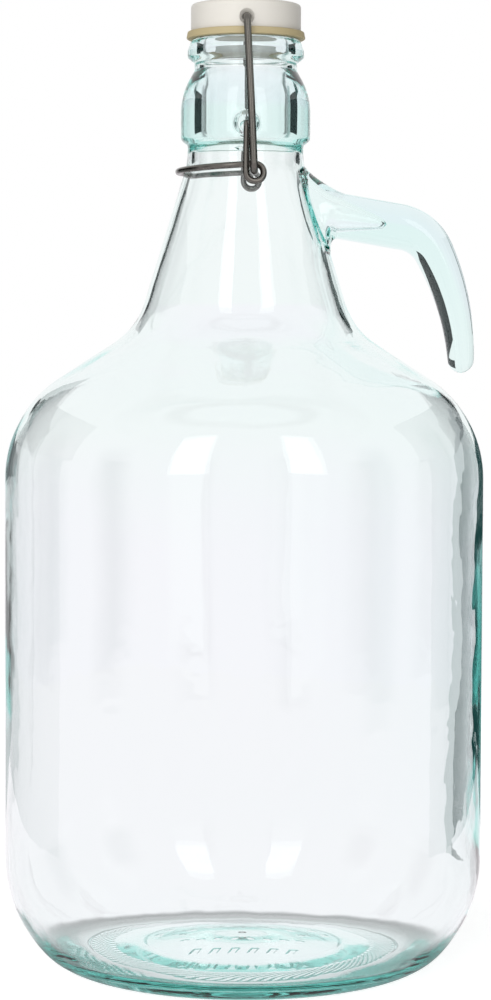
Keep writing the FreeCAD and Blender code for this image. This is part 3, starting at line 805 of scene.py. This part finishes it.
# ---------------------------------------------------------------------------------------------
# The tent. White cloth all round, a little pink below the horizon, with softly edged gaps between
# its panels. The glass and the wire see it evenly bright, the camera sees it white, and what is
# matt is lit from the front left.
# ---------------------------------------------------------------------------------------------
FLOOR_TENT = (0.985, 0.945, 0.985)
HIGH_TENT = (0.96, 0.965, 0.965)
WHITE = (1.0, 1.0, 1.0)
GREEN_GAP = (0.35, 0.45, 0.44)
GREY_GAP = (0.42, 0.43, 0.435)
# Each gap is (from, to, colour) in degrees round from +X.
GAPS = ((-165, -150, GREY_GAP), (-120, -107, GREY_GAP), (-73, -60, GREY_GAP),
        (-30, -15, GREEN_GAP), (15, 30, GREEN_GAP), (150, 165, GREY_GAP))
GAP_SOFT = 4.0
LIGHT_FROM = (-0.3, -0.9, 0.3)

world = bpy.data.worlds.new("studio")
world.use_nodes = True
bpy.context.scene.world = world
tree = world.node_tree
tree.nodes.clear()
out = tree.nodes.new("ShaderNodeOutputWorld")
coords = node(tree, "ShaderNodeTexCoord")
apart = node(tree, "ShaderNodeSeparateXYZ", [("Vector", coords.outputs["Generated"])])
turn = node(tree, "ShaderNodeMath", [(0, apart.outputs["Y"]), (1, apart.outputs["X"])], operation="ARCTAN2")
round_share = node(tree, "ShaderNodeMapRange", [("Value", turn.outputs["Value"])],
                   From_Min=-math.pi, From_Max=math.pi)
round_tent = node(tree, "ShaderNodeValToRGB", [("Fac", round_share.outputs["Result"])])
stops = []
for start, end, colour in GAPS:
    for angle, here in ((start - GAP_SOFT, WHITE), (start + GAP_SOFT, colour),
                        (end - GAP_SOFT, colour), (end + GAP_SOFT, WHITE)):
        stops.append(((angle + 180) / 360, here))
set_stops(round_tent, stops)


def mixed(share, first, second, blend="MIX"):
    """Mixes two colours, each an output or a value."""
    mix = node(tree, "ShaderNodeMix", data_type="RGBA", blend_type=blend)
    for index, value in ((0, share), (6, first), (7, second)):
        if isinstance(value, float):
            mix.inputs[index].default_value = value
        elif isinstance(value, tuple):
            mix.inputs[index].default_value = value + (1.0,)
        else:
            tree.links.new(value, mix.inputs[index])
    return mix.outputs[2]


above_floor = node(tree, "ShaderNodeMapRange", [("Value", apart.outputs["Z"])], From_Min=-0.07, From_Max=0.0)
tent = mixed(above_floor.outputs["Result"], FLOOR_TENT, HIGH_TENT)
gap_tops = node(tree, "ShaderNodeMapRange", [("Value", apart.outputs["Z"])],
                From_Min=0.37, From_Max=0.53, To_Min=1.0, To_Max=0.0)
gaps = mixed(gap_tops.outputs["Result"], WHITE, round_tent.outputs["Color"])
seen = mixed(1.0, tent, gaps, "MULTIPLY")
towards_light = node(tree, "ShaderNodeVectorMath", [(0, coords.outputs["Generated"])],
                     operation="DOT_PRODUCT")
towards_light.inputs[1].default_value = LIGHT_FROM
level = node(tree, "ShaderNodeMapRange", [("Value", towards_light.outputs["Value"])],
             From_Min=0.1, From_Max=1.0, To_Min=0.0, To_Max=1.75)
path = tree.nodes.new("ShaderNodeLightPath")
plain = node(tree, "ShaderNodeMix", [("Factor", path.outputs["Is Camera Ray"])], data_type="FLOAT")
tree.links.new(level.outputs["Result"], plain.inputs[2])
plain.inputs[3].default_value = 1.0
grey = node(tree, "ShaderNodeCombineColor")
for channel in range(3):
    tree.links.new(plain.outputs[0], grey.inputs[channel])
shown = mixed(by_way_of_glass(tree), grey.outputs["Color"], seen)
light = node(tree, "ShaderNodeBackground", [("Color", shown)], Strength=1.0)
tree.links.new(light.outputs["Background"], out.inputs["Surface"])

# ---------------------------------------------------------------------------------------------
# The camera. It stands a metre away, level with the bottle's shoulder, and looks down a little.
# ---------------------------------------------------------------------------------------------
CAMERA_TURN = math.radians(1.0)
CAMERA_AWAY = 1.0285
CAMERA_UP = 0.2327
LOOK_DOWN = math.radians(3.226)
LOOK_ASIDE = math.radians(0.029)
ROLL = math.radians(0.226)
camera_data = bpy.data.cameras.new("camera")
camera_data.sensor_width = 36.0
camera_data.lens = 99.0
camera_data.clip_end = 20.0
camera = bpy.data.objects.new("camera", camera_data)
bpy.context.scene.collection.objects.link(camera)
bpy.context.scene.camera = camera
camera.location = (-CAMERA_AWAY * math.sin(CAMERA_TURN), -CAMERA_AWAY * math.cos(CAMERA_TURN), CAMERA_UP)
aim = Euler((math.radians(90) - LOOK_DOWN, 0, -CAMERA_TURN - LOOK_ASIDE)).to_quaternion()
camera.rotation_mode = "QUATERNION"
camera.rotation_quaternion = aim @ Quaternion((0, 0, 1), ROLL)

# Light goes round inside the thick glass many times before it leaves it.
cycles = bpy.context.scene.cycles
cycles.max_bounces = 32
cycles.glossy_bounces = 32
cycles.transmission_bounces = 32
bpy.context.scene.view_settings.view_transform = "Standard"
